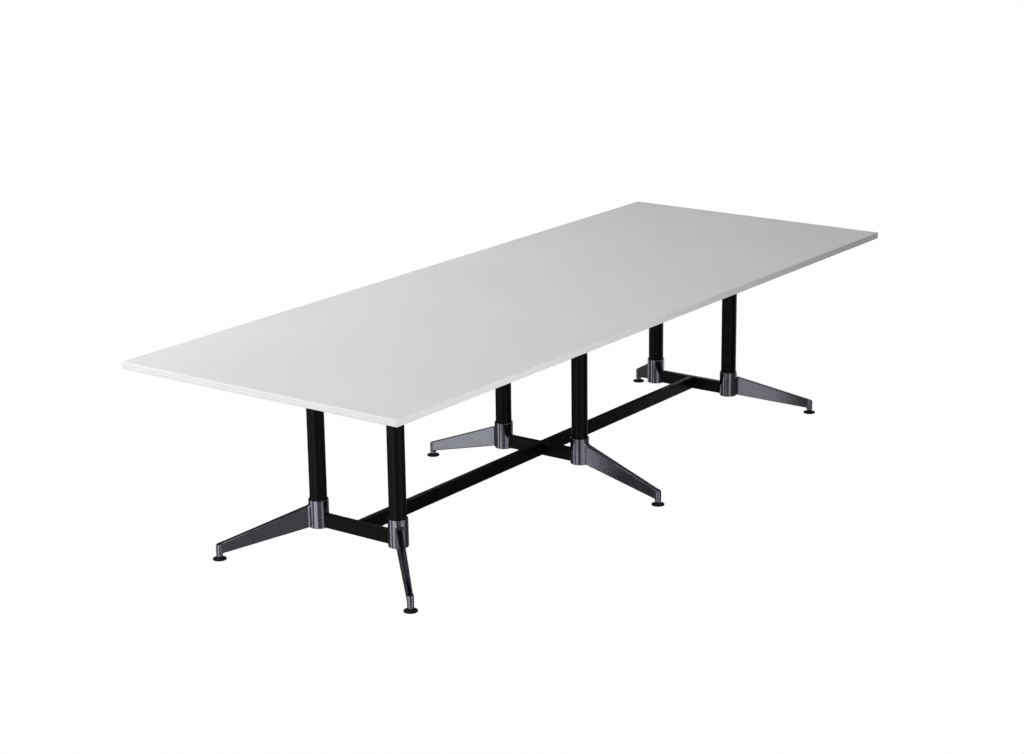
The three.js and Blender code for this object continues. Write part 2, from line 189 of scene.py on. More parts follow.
class StageSettings(bpy.types.PropertyGroup):
    """Floor, light and camera."""

    floor: colour("Floor", "Colour of the floor", (0.06, 0.06, 0.064))
    floor_size: length("Floor size", "Side of the floor", 90.0)
    floor_lift: amount("Floor white", "Share of plain white in the floor that the camera sees", 0.997)
    floor_gloss: amount("Floor in metal", "Share of plain white in the floor that metal shows", 0.01)
    floor_polish: amount("Floor polish", "Share of mirror in the floor", 0.55)
    ambient: amount("Ambient", "Strength of the even light", 0.35)
    backdrop_gloss: amount("Backdrop in metal", "Share of plain white in the backdrop that metal shows", 0.02)
    overhead: amount("Overhead", "Power of the lamp above the table, watts", 17)
    key: amount("Key", "Power of the large lamp at the near left, watts", 573)
    front: amount("Front", "Power of the lamp at the near end, watts", 22)
    side: amount("Side", "Power of the lamp at the right, watts", 39)
    far: amount("Far", "Power of the low lamp at the far end, watts", 20)
    glow: amount("Glow", "Brightness of the lamps' faces in metal", 0.85)
    side_glow: amount("Side glow", "Brightness of the face at the right side, as metal shows it", 0.45)
    corner_glow: amount("Corner glow", "Brightness of the dim face at the near right corner", 0.055)
    eye: FloatVectorProperty(
        name="Eye", description="Place of the camera", default=(-6.676, -4.7886, 2.7811), size=3, subtype="XYZ"
    )
    heading: angle("Heading", "Of the view, from the table's length", 36.419)
    dip: angle("Dip", "Of the view below the horizon", 16.072)
    roll: angle("Roll", "Of the camera about its view", -0.775)
    lens: amount("Lens", "Focal length on a sensor 36 mm wide, millimetres", 78.41)


# Mesh tools


def cove(radius, inside):
    """The rise of a quarter-round cove at a depth inside its edge."""
    depth = min(max(inside, 0), radius)
    return radius - math.sqrt(radius**2 - depth**2)


def merge(target, *parts):
    """Adds shells to a mesh."""
    for part in parts:
        mesh = bpy.data.meshes.new("shell")
        part.to_mesh(mesh)
        part.free()
        target.from_mesh(mesh)
        bpy.data.meshes.remove(mesh)
    return target


def turn(bm, about, axis=UPRIGHT):
    bmesh.ops.rotate(bm, cent=(0, 0, 0), matrix=Matrix.Rotation(about, 3, axis), verts=bm.verts)
    return bm


def move(bm, place):
    bmesh.ops.translate(bm, vec=place, verts=bm.verts)
    return bm


def settle(bm):
    """Merges doubles and turns the faces outwards."""
    bmesh.ops.remove_doubles(bm, verts=bm.verts, dist=TINY)
    bmesh.ops.recalc_face_normals(bm, faces=bm.faces)
    return bm


def spun(profile, steps=ROUND_STEPS, closed=False):
    """A solid turned about the upright axis from (radius, height) points. An open profile ends on the axis."""
    bm = bmesh.new()
    points = [bm.verts.new((radius, 0, height)) for radius, height in profile]
    pairs = list(zip(points, points[1:]))
    if closed:
        pairs.append((points[-1], points[0]))
    lines = [bm.edges.new(pair) for pair in pairs]
    bmesh.ops.spin(
        bm, geom=points + lines, cent=(0, 0, 0), axis=UPRIGHT, angle=math.tau, steps=steps, use_merge=True
    )
    return settle(bm)


def block(low, high):
    """A box between two corners."""
    low, high = Vector(low), Vector(high)
    bm = bmesh.new()
    bmesh.ops.create_cube(bm, size=1)
    bmesh.ops.scale(bm, vec=high - low, verts=bm.verts)
    return move(bm, (low + high) / 2)


def drum(radius, low, high, segments=SMALL_STEPS):
    """An upright closed cylinder."""
    bm = bmesh.new()
    bmesh.ops.create_cone(
        bm, cap_ends=True, segments=segments, radius1=radius, radius2=radius, depth=high - low
    )
    return move(bm, (0, 0, (low + high) / 2))


def round_off(bm, edges, radius, segments):
    """Rounds edges to a radius."""
    bmesh.ops.bevel(
        bm,
        geom=edges,
        offset=radius,
        offset_type="OFFSET",
        segments=segments,
        profile=0.5,
        affect="EDGES",
        material=-1,
        clamp_overlap=True,
    )


def ring(bm, radius, height):
    """The edges of the circle of that radius and height about the upright axis."""

    def on_ring(vert):
        return abs(vert.co.xy.length - radius) < TINY and abs(vert.co.z - height) < TINY

    return [edge for edge in bm.edges if all(on_ring(vert) for vert in edge.verts)]


def running(bm, axis):
    """The straight edges that run along an axis, 0 to 2."""
    others = [i for i in range(3) if i != axis]

    def runs(edge):
        a, b = (vert.co for vert in edge.verts)
        return abs(a[axis] - b[axis]) > TINY and all(abs(a[i] - b[i]) < TINY for i in others)

    return [edge for edge in bm.edges if runs(edge)]


def on_plane(bm, axis, place):
    """The edges that lie in a plane across an axis."""
    return [edge for edge in bm.edges if all(abs(vert.co[axis] - place) < TINY for vert in edge.verts)]


def facing(bm, direction):
    """The faces that look in a direction."""
    bm.normal_update()
    return [face for face in bm.faces if face.normal.dot(direction) > 0.999]


def grow(bm, face, keep=False):
    """Extrudes a face and returns the new one, still in its old place."""
    made = bmesh.ops.extrude_face_region(bm, geom=[face])["geom"]
    grown = next(item for item in made if isinstance(item, bmesh.types.BMFace))
    if face.is_valid and not keep:
        bmesh.ops.delete(bm, geom=[face], context="FACES_ONLY")
    return grown


def recess(bm, face, inset, depth, shape=None):
    """Presses the middle of a flat face in. The shape gives the recess's share of its radius by angle."""
    bmesh.ops.inset_region(bm, faces=[face], thickness=inset, use_even_offset=True)
    centre = face.calc_center_median()
    push = -depth * face.normal.copy()
    if shape:
        for vert in face.verts:
            arm = vert.co - centre
            vert.co = centre + arm * shape(math.atan2(arm.y, arm.x))
    bmesh.ops.translate(bm, vec=push, verts=grow(bm, face).verts)
    return bm


def hexagon(about):
    """Six flats, in shares of the radius to the corners."""
    sixth = math.pi / 3
    return math.cos(sixth / 2) / math.cos(about % sixth - sixth / 2)


def cross(about):
    """Four narrow arms, in shares of their reach."""
    quarter = math.pi / 2
    off = abs((about + quarter / 2) % quarter - quarter / 2)
    return 1.0 if off < 0.15 else 0.42


def piece(name, bm, finish, body=ROOT, replaces=()):
    """Makes a finished piece that rides on a body and stands for CAD nodes."""
    mesh = bpy.data.meshes.new(name)
    bm.to_mesh(mesh)
    bm.free()
    mesh.shade_smooth()
    mesh.set_sharp_from_angle(angle=SHARP_ANGLE)
    mesh.materials.append(finished(finish))
    obj = bpy.data.objects.new(name, mesh)
    bpy.context.scene.collection.objects.link(obj)
    even = obj.modifiers.new("Even shading", "WEIGHTED_NORMAL")
    even.keep_sharp = True
    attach(obj, body)
    if replaces:
        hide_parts(*replaces)
    return obj


def dress(node, finish):
    """Gives a CAD node that stays in view its finish."""
    materials = frame["nodes"][node].data.materials
    materials.clear()
    materials.append(finished(finish))


def middle(node):
    low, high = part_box(node)
    return (low + high) / 2


def post_axis(name):
    """The foot of a post's axis on the floor."""
    place = middle(f"post_{name}")
    return Vector((place.x, place.y, 0))


def post_radius(name):
    low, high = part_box(f"post_{name}")
    return (high.x - low.x) / 2


def arm_run(name):
    """The heading of a leg's arm and its reach, from the post's axis to the foot's."""
    run = (middle(f"foot_pad_{name}") - post_axis(name)).xy
    return math.atan2(run.y, run.x), run.length


def rail_heading(name):
    """The heading from a post to the middle of its cross rail."""
    return -math.pi / 2 if name.endswith("left") else math.pi / 2


# Finishes


def add(tree, kind, **inputs):
    """Adds a node. Keyword names with spaces as underscores are its inputs, given a number or a socket."""
    node = tree.nodes.new(kind)
    for label, value in inputs.items():
        socket = node.inputs[label.replace("_", " ")]
        if isinstance(value, bpy.types.NodeSocket):
            tree.links.new(value, socket)
        else:
            socket.default_value = value
    return node


def group(name, inputs, outputs):
    """A node group with named inputs and outputs, and its two end nodes."""
    tree = bpy.data.node_groups.new(name, "ShaderNodeTree")
    for label, default in inputs.items():
        tree.interface.new_socket(label, in_out="INPUT", socket_type="NodeSocketFloat").default_value = default
    for label in outputs:
        tree.interface.new_socket(label, in_out="OUTPUT", socket_type="NodeSocketFloat")
    return tree, tree.nodes.new("NodeGroupInput"), tree.nodes.new("NodeGroupOutput")


def object_place(tree):
    return tree.nodes.new("ShaderNodeTexCoord").outputs["Object"]


def fine_grain():
    """Fine surface grain and a slow cloud, both from 0 to 1."""
    tree, given, made = group("Fine grain", {"Grain": 900.0, "Cloud": 3.0}, ("Grain", "Cloud"))
    place = object_place(tree)
    for label, detail in (("Grain", 2.0), ("Cloud", 4.0)):
        noise = add(tree, "ShaderNodeTexNoise", Vector=place, Scale=given.outputs[label], Detail=detail)
        tree.links.new(noise.outputs["Fac"], made.inputs[label])
    return tree


def handling_marks():
    """Faint wipe marks from handling, from 0 to 1."""
    tree, given, made = group("Handling marks", {"Scale": 18.0}, ("Marks",))
    smear = add(
        tree,
        "ShaderNodeTexNoise",
        Vector=object_place(tree),
        Scale=given.outputs["Scale"],
        Detail=5.0,
        Distortion=1.4,
    )
    patch = add(tree, "ShaderNodeMapRange", Value=smear.outputs["Fac"], From_Min=0.45, From_Max=0.75)
    tree.links.new(patch.outputs["Result"], made.inputs["Marks"])
    return tree


SHARED = {"Fine grain": fine_grain, "Handling marks": handling_marks}


def shade(base, share):
    return tuple(min(1.0, channel * share) for channel in base)


class Finish:
    """A material under way: its shader, its grain, and the links between them."""

    def __init__(self, name, grain, cloud):
        self.material = bpy.data.materials.new(name)
        self.material.use_nodes = True
        self.tree = self.material.node_tree
        self.shader = self.tree.nodes["Principled BSDF"]
        noise = self.shared("Fine grain", Grain=grain, Cloud=cloud)
        self.grain = noise.outputs["Grain"]
        self.cloud = noise.outputs["Cloud"]

    def shared(self, name, **values):
        node = self.tree.nodes.new("ShaderNodeGroup")
        node.node_tree = bpy.data.node_groups.get(name) or SHARED[name]()
        for label, value in values.items():
            node.inputs[label].default_value = value
        return node

    def marks(self, scale):
        return self.shared("Handling marks", Scale=scale).outputs["Marks"]

    def base(self, value, dark, light):
        blend = self.tree.nodes.new("ShaderNodeMix")
        blend.data_type = "RGBA"
        factor, first, second = (s for s in blend.inputs if s.enabled)
        self.tree.links.new(value, factor)
        first.default_value = (*dark, 1)
        second.default_value = (*light, 1)
        result = next(s for s in blend.outputs if s.enabled)
        self.tree.links.new(result, self.shader.inputs["Base Color"])

    def rough(self, value, low, high):
        span = add(self.tree, "ShaderNodeMapRange", Value=value, To_Min=low, To_Max=high)
        self.tree.links.new(span.outputs["Result"], self.shader.inputs["Roughness"])

    def bump(self, value, strength, distance):
        relief = add(self.tree, "ShaderNodeBump", Height=value, Strength=strength, Distance=distance)
        self.tree.links.new(relief.outputs["Normal"], self.shader.inputs["Normal"])

    def put(self, **values):
        for label, value in values.items():
            self.shader.inputs[label.replace("_", " ")].default_value = value


def pale_melamine():
    """Pale melamine with a fine pearl texture and hardly any cloud."""
    base = bpy.context.scene.table_top.board
    finish = Finish("pale_melamine", grain=1400.0, cloud=2.2)
    finish.base(finish.cloud, shade(base, 0.97), shade(base, 1.03))
    finish.rough(finish.cloud, 0.42, 0.52)
    finish.bump(finish.grain, 0.08, 0.0004)
    finish.put(Specular_IOR_Level=0.35)
    return finish.material


def pale_edging():
    """Smooth plastic edging."""
    base = bpy.context.scene.table_top.edging
    finish = Finish("pale_edging", grain=700.0, cloud=6.0)
    finish.base(finish.cloud, shade(base, 0.97), shade(base, 1.03))
    finish.rough(finish.cloud, 0.34, 0.44)
    finish.bump(finish.grain, 0.05, 0.0004)
    finish.put(Specular_IOR_Level=0.4)
    return finish.material


def black_powder_coat():
    """Black powder coat with a light orange peel."""
    base = bpy.context.scene.table_posts.black
    finish = Finish("black_powder_coat", grain=520.0, cloud=9.0)
    finish.base(finish.cloud, shade(base, 0.8), shade(base, 1.25))
    finish.rough(finish.marks(14.0), 0.36, 0.46)
    finish.bump(finish.grain, 0.16, 0.0006)
    finish.put(Specular_IOR_Level=0.35)
    return finish.material


def polished_casting():
    """Mirror-polished casting with faint waves and wipe marks."""
    base = bpy.context.scene.table_legs.metal
    finish = Finish("polished_casting", grain=60.0, cloud=16.0)
    finish.base(finish.cloud, shade(base, 0.94), shade(base, 1.04))
    finish.rough(finish.marks(26.0), 0.07, 0.13)
    finish.bump(finish.grain, 0.02, 0.0008)
    finish.put(Metallic=1.0)
    return finish.material


def zinc_plate():
    """Zinc-plated steel with a soft spangle."""
    base = bpy.context.scene.table_feet.zinc
    finish = Finish("zinc_plate", grain=650.0, cloud=220.0)
    finish.base(finish.cloud, shade(base, 0.82), shade(base, 1.12))
    finish.rough(finish.cloud, 0.24, 0.4)
    finish.bump(finish.grain, 0.1, 0.0003)
    finish.put(Metallic=1.0)
    return finish.material


def black_nylon():
    """Black moulded nylon with a fine matt grain."""
    base = bpy.context.scene.table_feet.nylon
    finish = Finish("black_nylon", grain=1600.0, cloud=40.0)
    finish.base(finish.cloud, shade(base, 0.85), shade(base, 1.3))
    finish.rough(finish.cloud, 0.44, 0.58)
    finish.bump(finish.grain, 0.2, 0.0003)
    finish.put(Specular_IOR_Level=0.1)
    return finish.material


def beech():
    """Plain turned beech, with its grain along the dowel."""
    finish = Finish("beech", grain=500.0, cloud=60.0)
    drawn = add(finish.tree, "ShaderNodeMapping", Vector=object_place(finish.tree), Scale=(12.0, 260.0, 260.0))
    streak = add(finish.tree, "ShaderNodeTexNoise", Vector=drawn.outputs["Vector"], Scale=1.0, Detail=3.0)
    finish.base(streak.outputs["Fac"], (0.5, 0.33, 0.17), (0.78, 0.6, 0.38))
    finish.rough(finish.cloud, 0.6, 0.75)
    finish.bump(finish.grain, 0.1, 0.0004)
    return finish.material


FINISHES = {
    make.__name__: make
    for make in (pale_melamine, pale_edging, black_powder_coat, polished_casting, zinc_plate, black_nylon, beech)
}


def finished(name):
    """A finish by name, made on first use."""
    return bpy.data.materials.get(name) or FINISHES[name]()


# Small fasteners


def wood_screw_head(place):
    """A pan head with a cross recess, under a plate at that place."""
    radius, height = 0.0055, 0.003
    bm = drum(radius, -height, 0)
    round_off(bm, ring(bm, radius, -height), 0.0012, 3)
    under = max(facing(bm, DOWN), key=lambda face: face.calc_area())
    recess(bm, under, 0.001, 0.0016, cross)
    return move(bm, place)


def screwed_plate(low, high, corner, inset):
    """A plate with rounded corners and four screw heads under it, in separate meshes."""
    plate = block(low, high)
    round_off(plate, running(plate, 2), corner, 6)
    for height in (low.z, high.z):
        round_off(plate, on_plane(plate, 2, height), 0.0005, 2)
    screws = bmesh.new()
    for x in (low.x + inset, high.x - inset):
        for y in (low.y + inset, high.y - inset):
            merge(screws, wood_screw_head((x, y, low.z)))
    return plate, screws


def socket_bolt(radius, head_radius, head_low, seat, tip):
    """An upright bolt with a hexagon socket under its head."""
    head = drum(head_radius, head_low, seat)
    round_off(head, ring(head, head_radius, head_low), 0.0008, 2)
    under = max(facing(head, DOWN), key=lambda face: face.calc_area())
    recess(head, under, head_radius * 0.42, (seat - head_low) * 0.6, hexagon)
    shank = drum(radius, seat, tip)
    round_off(shank, ring(shank, radius, tip), 0.001, 1)
    return merge(head, shank)


# Pieces


class TABLE_OT_top(bpy.types.Operator):
    """Finishes the boards and makes the edging, and the plates and dowels of the seam"""

    bl_idname = "table.top"
    bl_label = "Top"

    def execute(self, context):
        top = context.scene.table_top
        for end in ENDS:
            dress(f"top_board_{end}", "pale_melamine")
            self.end_strip(f"edging_end_{end}", top.arris)
            for side in SIDES:
                self.side_strip(f"edging_{side}_{end}", top.arris)
        for side in SIDES:
            node = f"seam_plate_{side}"
            plate, screws = screwed_plate(*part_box(node), top.plate_corner, top.plate_inset)
            piece(f"joining_plate_{side}", plate, "zinc_plate", replaces=[node])
            piece(f"joining_plate_screws_{side}", screws, "zinc_plate")
        for place in ("left", "mid", "right"):
            dress(f"dowel_{place}", "beech")
        return {"FINISHED"}

    def end_strip(self, node, arris):
        """A strip across the table's end, rounded on all but its glued face."""
        low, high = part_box(node)
        glued = min(low.x, high.x, key=abs)
        bm = block(low, high)
        inner = set(on_plane(bm, 0, glued))
        round_off(bm, [edge for edge in bm.edges if edge not in inner], arris, 5)
        piece(f"{node}_strip", bm, "pale_edging", replaces=[node])

    def side_strip(self, node, arris):
        """A strip along the table's side, from the seam to the end strip."""
        low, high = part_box(node)
        outer = max(low.y, high.y, key=abs)
        bm = block(low, high)
        shown = set(on_plane(bm, 1, outer))
        round_off(bm, [edge for edge in running(bm, 0) if edge in shown], arris, 5)
        piece(f"{node}_strip", bm, "pale_edging", replaces=[node])


class TABLE_OT_posts(bpy.types.Operator):
    """Makes the posts and the mounting plates that carry the top"""

    bl_idname = "table.posts"
    bl_label = "Posts"

    def execute(self, context):
        settings = context.scene.table_posts
        for name in STATIONS:
            bm = turn(self.tube(settings, name), rail_heading(name))
            move(bm, post_axis(name))
            piece(f"tube_{name}", bm, "black_powder_coat", replaces=[f"post_{name}"])
            self.mounting_plate(settings, name)
        return {"FINISHED"}

    def tube(self, settings, name):
        """A round tube with a nut plate inside, notched at its foot towards +X."""
        low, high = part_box(f"post_{name}")
        radius = post_radius(name)
        bore = radius - settings.wall
        notch = low.z + settings.notch_height
        nut_low = low.z + settings.nut_height
        nut_high = nut_low + settings.nut_thickness
        profile = [
            (bore, low.z),
            (radius, low.z),
            (radius, notch),
            (radius, high.z),
            (bore, high.z),
            (bore, nut_high),
            (settings.nut_bore, nut_high),
            (settings.nut_bore, nut_low),
            (bore, nut_low),
            (bore, notch),
        ]
        bm = spun(profile, closed=True)
        half_notch = math.radians(15)

        def in_notch(face):
            middle_point = face.calc_center_median()
            return middle_point.z < notch - TINY and abs(math.atan2(middle_point.y, middle_point.x)) < half_notch

        bmesh.ops.delete(bm, geom=[face for face in bm.faces if in_notch(face)], context="FACES")
        rims = [edge for edge in bm.edges if edge.is_boundary]
        bmesh.ops.bridge_loops(bm, edges=rims)
        return settle(bm)

    def mounting_plate(self, settings, name):
        """A screwed plate on a spigot inside the post's tube."""
        node = f"mounting_plate_{name}"
        low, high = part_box(node)
        under = high.z - settings.plate_thickness
        plate, screws = screwed_plate(
            Vector((low.x, low.y, under)), high, settings.plate_corner, settings.plate_inset
        )
        outer = post_radius(name) - settings.wall - settings.spigot_fit
        inner = outer - settings.spigot_wall
        spigot = spun([(inner, low.z), (outer, low.z), (outer, under), (inner, under)], closed=True)
        merge(plate, move(spigot, post_axis(name)))
        piece(f"plate_{name}", plate, "black_powder_coat", replaces=[node])
        piece(f"plate_screws_{name}", screws, "zinc_plate")


class ArmForm:
    """The lines of a leg's arm by distance from the post's axis, with heights from the floor."""

    def __init__(self, settings, name):
        leg_low, leg_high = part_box(f"leg_{name}")
        straight_low, straight_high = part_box("leg_mid_left")
        self.settings = settings
        self.heading, self.reach = arm_run(name)
        self.radius = (straight_high.x - straight_low.x) / 2
        self.bore = post_radius(name) + settings.post_fit
        self.boss_low = leg_low.z
        self.collar_high = leg_high.z
        self.collar_low = leg_high.z - settings.collar_height
        self.tip_low = self.boss_low + settings.boss_drop
        across = settings.root_thickness / 2 + settings.side_fillet
        around = self.radius + settings.side_fillet
        self.fillet_end = math.sqrt(around**2 - across**2)
        self.fillet_start = self.fillet_end * self.radius / around
        self.tip_start = self.reach - 0.8 * settings.boss_radius
        self.tip_end = self.reach + settings.boss_radius

    def taper(self, s, root, tip):
        return root + (tip - root) * (s - self.radius) / (self.reach - self.radius)

    def slope_low(self, s):
        return self.taper(s, self.collar_low, self.tip_low)

    def top_line(self, s):
        return self.slope_low(s) + self.taper(s, self.settings.root_depth, self.settings.tip_depth)

    def flare(self, s):
        """The fillet between a side and the collar, as added thickness."""
        return cove(self.settings.side_fillet, self.fillet_end - s)

    def low(self, s):
        """The underside, lifted clear of the collar's arris and level under the boss."""
        return self.slope_low(min(s, self.tip_start)) + 0.4 * self.flare(s)

    def high(self, s, y):
        """The upper side, swept up to the collar by a fillet and rounded down at the tip."""
        sweep = cove(self.settings.top_fillet, self.radius + self.settings.top_fillet - math.hypot(s, y))
        nose = cove(self.settings.top_round, s - self.tip_end + self.settings.top_round)
        return self.top_line(s) + sweep - nose

    def half(self, s):
        """Half the thickness, flared into the collar by a fillet and round at the tip."""
        settings = self.settings
        boss = math.sqrt(max(settings.boss_radius**2 - (s - self.reach) ** 2, 0))
        if s > self.reach:
            return boss
        side = self.taper(s, settings.root_thickness, settings.tip_thickness) / 2 + self.flare(s)
        near = max(settings.tip_fillet - abs(side - boss), 0)
        return max(side, boss) + near**2 / (4 * settings.tip_fillet)

    def slope(self):
        drop = self.top_line(self.radius) - self.top_line(self.reach)
        return math.atan2(drop, self.reach - self.radius)

    def bays(self):
        """The start and end of each hollow bay."""
        settings = self.settings
        start = self.fillet_end + settings.wall
        end = self.reach - settings.boss_radius - settings.wall
        span = (end - start - (settings.bays - 1) * settings.rib) / settings.bays
        starts = [start + bay * (span + settings.rib) for bay in range(settings.bays)]
        return [(begin, begin + span) for begin in starts]

    def sections(self, rim):
        """The places of the arm's sections: close together in the fillets and round the tip."""
        settings = self.settings
        fillet = [self.fillet_start + (self.fillet_end - self.fillet_start) * step / 8 for step in range(9)]
        sweep = [self.radius + settings.top_fillet * share for share in (0.75, 0.85, 1.0)]
        edges = [s for start, end in self.bays() for s in (start - rim, end + rim)]
        turns = [math.tau * (step + 0.5) / BOSS_STEPS for step in range(BOSS_STEPS // 2)]
        tip = [self.reach + settings.boss_radius * math.cos(turn) for turn in turns]
        return sorted({*fillet, *sweep, *edges, *(s for s in tip if s > self.tip_start)})

    def outline(self):
        """A section's points in order, each as its side, its share of the flat width, and its corner's turn."""
        settings = self.settings
        quarter = [math.pi / 2 * step / 6 for step in range(7)]
        up = [(1, settings.top_round, turn) for turn in quarter]
        flat = [(share, settings.top_round, math.pi / 2) for share in (0.5, 0, -0.5)]
        down = [(-1, settings.top_round, turn) for turn in reversed(quarter)]
        under = [(-1, -settings.low_round, turn) for turn in quarter]
        back = [(1, -settings.low_round, turn) for turn in reversed(quarter)]
        return [*up, *flat, *down, *under, *back]

    def point(self, s, side, radius, turn):
        """A point of a section. A positive radius rounds an upper corner and a negative one a lower corner."""
        half = self.half(s)
        inset = min(abs(radius), half) * (1 - math.cos(turn))
        y = side * (half - inset)
        edge = self.high(s, y) if radius > 0 else self.low(s)
        return Vector((s, y, edge - radius * (1 - math.sin(turn))))


class TABLE_OT_legs(bpy.types.Operator):
    """Makes the cast legs, and the bolts that hold the posts in them"""

    bl_idname = "table.legs"
    bl_label = "Legs"

    def execute(self, context):
        settings = context.scene.table_legs
        for name in STATIONS:
            form = ArmForm(settings, name)
            bm = merge(self.collar(settings, form), self.arm(settings, form), self.boss(settings, form))
            move(turn(bm, form.heading), post_axis(name))
            piece(f"cast_leg_{name}", bm, "polished_casting", replaces=[f"leg_{name}"])
            self.bolt(settings, form, name)
        return {"FINISHED"}

    def collar(self, settings, form):
        """A round cup with a bolt hole in its floor."""
        bore, low, high = form.bore, form.collar_low, form.collar_high
        seat = low + settings.collar_floor
        roof = low + settings.bolt_depth
        profile = [
            (settings.bolt_room, low),
            (form.radius, low),
            (form.radius, high),
            (bore, high),
            (bore, seat),
            (settings.bolt_hole, seat),
            (settings.bolt_hole, roof),
            (settings.bolt_room, roof),
        ]
        bm = spun(profile, closed=True)
        for radius, height, arris in (
            (form.radius, low, settings.collar_arris),
            (form.radius, high, settings.collar_arris),
            (bore, high, settings.collar_lip),
            (settings.bolt_room, low, settings.collar_lip),
        ):
            round_off(bm, ring(bm, radius, height), arris, 4)
        return bm

    def arm(self, settings, form):
        """The tapered arm along +X, drawn section by section round its tip and hollowed from below."""
        rim = settings.wall - settings.low_round
        outline = form.outline()
        first, *rest = form.sections(rim)
        bm = bmesh.new()
        face = bm.faces.new([bm.verts.new(form.point(first, *corner)) for corner in outline])
        for section in rest:
            face = grow(bm, face, keep=section == rest[0])
            for vert, corner in zip(face.verts, outline):
                vert.co = form.point(section, *corner)
        settle(bm)
        for start, end in form.bays():
            self.bay(bm, settings, form, (start + end) / 2, rim)
        return bm

    def bay(self, bm, settings, form, place, rim):
        """Hollows the underside's face at a place up to the arm's upper wall."""
        bm.normal_update()

        def under(face):
            near = [vert.co.x for vert in face.verts]
            flat = face.normal.z < -0.8 and abs(face.calc_center_median().y) < TINY
            return flat and min(near) < place < max(near)

        face = next(face for face in bm.faces if under(face))
        bmesh.ops.inset_region(bm, faces=[face], thickness=rim, use_even_offset=True)
        for vert in grow(bm, face).verts:
            vert.co.z = form.top_line(vert.co.x) - settings.wall

    def boss(self, settings, form):
        """The tip boss, which ends inside the arm's tip, with a blind hole for the levelling screw."""
        radius = settings.boss_radius - 0.00005
        bm = drum(radius, form.boss_low, form.collar_high, BOSS_STEPS)
        slope = form.slope()
        bmesh.ops.bisect_plane(
            bm,
            geom=[*bm.verts, *bm.edges, *bm.faces],
            plane_co=(0, 0, form.top_line(form.reach) - 0.0015),
            plane_no=(math.sin(slope), 0, math.cos(slope)),
            clear_outer=True,
        )
        rim = [edge for edge in bm.edges if edge.is_boundary]
        bmesh.ops.edgeloop_fill(bm, edges=rim)
        round_off(bm, rim, settings.top_round, 5)
        round_off(bm, ring(bm, radius, form.boss_low), 0.0008, 3)
        under = max(facing(bm, DOWN), key=lambda face: face.calc_area())
        edge = under.calc_perimeter() / math.tau
        recess(bm, under, edge - settings.boss_bore, settings.boss_depth)
        return move(settle(bm), (form.reach, 0, 0))

    def bolt(self, settings, form, name):
        low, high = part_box(f"post_bolt_{name}")
        radius = settings.bolt_hole - 0.0003
        bm = socket_bolt(radius, settings.bolt_room - 0.0003, low.z, low.z + settings.bolt_head, high.z)
        move(bm, post_axis(name))
        piece(f"socket_bolt_{name}", bm, "zinc_plate", replaces=[f"post_bolt_{name}"])


class TABLE_OT_rails(bpy.types.Operator):
    """Makes the cross rails and the two lengths of the beam"""

    bl_idname = "table.rails"
    bl_label = "Rails"

    def execute(self, context):
        settings = context.scene.table_rails
        for pair in FRAMES:
            self.cross_rail(settings, pair)
            for side in SIDES:
                dress(f"rail_screw_{pair}_{side}", "zinc_plate")
        for end in ENDS:
            self.beam(settings, f"beam_{end}")
        return {"FINISHED"}

    def cross_rail(self, settings, pair):
        """A rail across the table, hollowed at its ends to the collars, with a stub for each beam."""
        node = f"cross_rail_{pair}"
        low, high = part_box(node)
        collar_low, collar_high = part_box("leg_mid_left")
        cope = (collar_high.x - collar_low.x) / 2 + settings.gap
        axis = post_axis(f"{pair}_left")
        beam_low, beam_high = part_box("beam_near")
        half = (beam_high.y - beam_low.y) / 2
        bm = block((axis.x - half, low.y, low.z), (axis.x + half, high.y, high.z))
        round_off(bm, running(bm, 1), settings.corner, 4)
        for step in range(-3, 4):
            bmesh.ops.bisect_plane(
                bm,
                geom=[*bm.verts, *bm.edges, *bm.faces],
                plane_co=(axis.x + step * half / 4, 0, 0),
                plane_no=(1, 0, 0),
            )
        for vert in bm.verts:
            away = axis.y - math.sqrt(cope**2 - (vert.co.x - axis.x) ** 2)
            vert.co.y = math.copysign(away, vert.co.y)
        inset = settings.wall + settings.gap
        for reach in (low.x - axis.x, high.x - axis.x):
            if abs(reach) > half + TINY:
                start = axis.x + math.copysign(half, reach)
                first, last = sorted((start, axis.x + reach))
                stub = self.tube(
                    Vector((first, -half + inset, low.z + inset)),
                    Vector((last, half - inset, high.z - inset)),
                    settings.corner / 2,
                    settings.stub_wall,
                )
                merge(bm, stub)
        piece(f"rail_{pair}", bm, "black_powder_coat", replaces=[node])

    def beam(self, settings, node):
        """A length of the beam, with a set screw under each end."""
        low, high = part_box(node)
        bm = self.tube(low, high, settings.corner, settings.wall)
        screws = bmesh.new()
        for x in (low.x + settings.set_screw_inset, high.x - settings.set_screw_inset):
            screw = drum(settings.set_screw_radius, low.z - 0.0004, low.z + settings.wall)
            under = facing(screw, DOWN)[0]
            recess(screw, under, settings.set_screw_radius * 0.4, 0.0015, hexagon)
            merge(screws, move(screw, (x, 0, 0)))
        piece(f"{node}_tube", bm, "black_powder_coat", replaces=[node])
        piece(f"{node}_set_screws", screws, "zinc_plate")

    def tube(self, low, high, corner, wall):
        """An open rectangular tube along X."""
        bm = block(low, high)
        round_off(bm, running(bm, 0), corner, 4)
        ends = [face for face in facing(bm, Vector((1, 0, 0))) + facing(bm, Vector((-1, 0, 0)))]
        bmesh.ops.delete(bm, geom=ends, context="FACES_ONLY")
        bmesh.ops.solidify(bm, geom=bm.faces[:], thickness=wall)
        return settle(bm)


